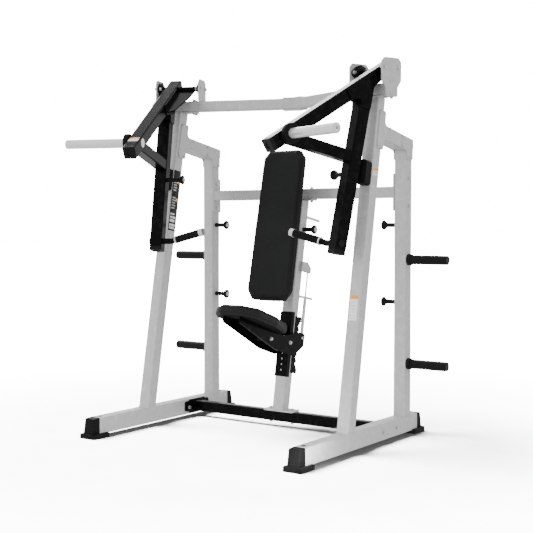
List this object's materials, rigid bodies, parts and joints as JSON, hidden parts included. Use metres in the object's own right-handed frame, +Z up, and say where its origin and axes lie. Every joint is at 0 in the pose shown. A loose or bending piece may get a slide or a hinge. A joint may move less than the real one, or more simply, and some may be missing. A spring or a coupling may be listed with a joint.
{
  "type": "chest press machine",
  "caption": "Plate-loaded chest press with a bolted tube frame, two pivoting press arms with handles and weight horns, a sliding seat and a fixed back pad.",
  "frame": {"origin": "on the floor at the centre of the footprint", "axes": "+Z up, +Y from the user towards the rear uprights, +X across the machine"},
  "size_m": [1.846, 1.2721, 1.9878],
  "materials": {
    "silver_paint": "satin",
    "black_paint": "satin",
    "rubber": "matte",
    "chrome": "polished",
    "steel": "satin",
    "aluminium": "satin",
    "vinyl": "satin",
    "plastic": "matte",
    "iron": "satin"
  },
  "bodies": {
    "frame": {"left_base_rail": "silver_paint", "right_base_rail": "silver_paint", "left_front_upright": "silver_paint", "right_front_upright": "silver_paint", "left_rear_upright": "silver_paint", "right_rear_upright": "silver_paint", "left_link_tube": "silver_paint", "right_link_tube": "silver_paint", "gusset_plates": "silver_paint", "link_end_caps": "silver_paint", "left_top_beam": "silver_paint", "right_top_beam": "silver_paint", "beam_plates": "silver_paint", "pivot_plates": "silver_paint", "strut_bracket": "silver_paint", "mid_crossbar": "silver_paint", "crossbar_end_plates": "silver_paint", "seat_post": "silver_paint", "post_end_plates": "silver_paint", "base_cross_beam": "black_paint", "base_end_plates": "black_paint", "seat_channel": "black_paint", "seat_rack": "black_paint", "back_pad_brackets": "black_paint", "foot_caps": "rubber", "arm_bumpers": "rubber", "band_pegs": "plastic", "storage_pegs": "plastic", "pivot_bearings": "iron", "frame_bolts": "steel", "post_rear_pegs": "steel", "strut_rod": "chrome", "back_pad": "vinyl"},
    "right_arm": {"right_arm_upper_tube": "black_paint", "right_arm_hanging_tube": "black_paint", "right_arm_brace": "black_paint", "right_arm_side_plates": "black_paint", "right_arm_shaft": "black_paint", "right_weight_horn": "chrome", "right_horn_collar": "rubber", "right_arm_fittings": "plastic", "right_handle_bar": "black_paint", "right_handle_grip": "rubber", "right_handle_grip_ends": "aluminium"},
    "left_arm": {"left_arm_upper_tube": "black_paint", "left_arm_hanging_tube": "black_paint", "left_arm_brace": "black_paint", "left_arm_side_plates": "black_paint", "left_arm_shaft": "black_paint", "left_weight_horn": "chrome", "left_horn_collar": "rubber", "left_arm_fittings": "plastic", "left_handle_bar": "black_paint", "left_handle_grip": "rubber", "left_handle_grip_ends": "aluminium"},
    "seat": {"seat_carriage_frame": "black_paint", "seat_rollers_and_pins": "steel", "strut_cylinder": "aluminium", "seat_pad": "vinyl", "seat_bolts": "steel"}
  },
  "joints": [
    {"name": "right_press", "type": "hinge", "parent": "frame", "child": "right_arm", "pos_m": [0.69442, 0.13477, 1.93], "axis": [-0.9336, 0.3584, 0], "range_deg": [0, 45]},
    {"name": "left_press", "type": "hinge", "parent": "frame", "child": "left_arm", "pos_m": [-0.69442, 0.13477, 1.93], "axis": [-0.9336, -0.3584, 0], "range_deg": [0, 45]},
    {"name": "seat_height", "type": "slide", "parent": "frame", "child": "seat", "axis": [0, 0.1736, 0.9848], "range_m": [-0.105, 0.07]}
  ]
}
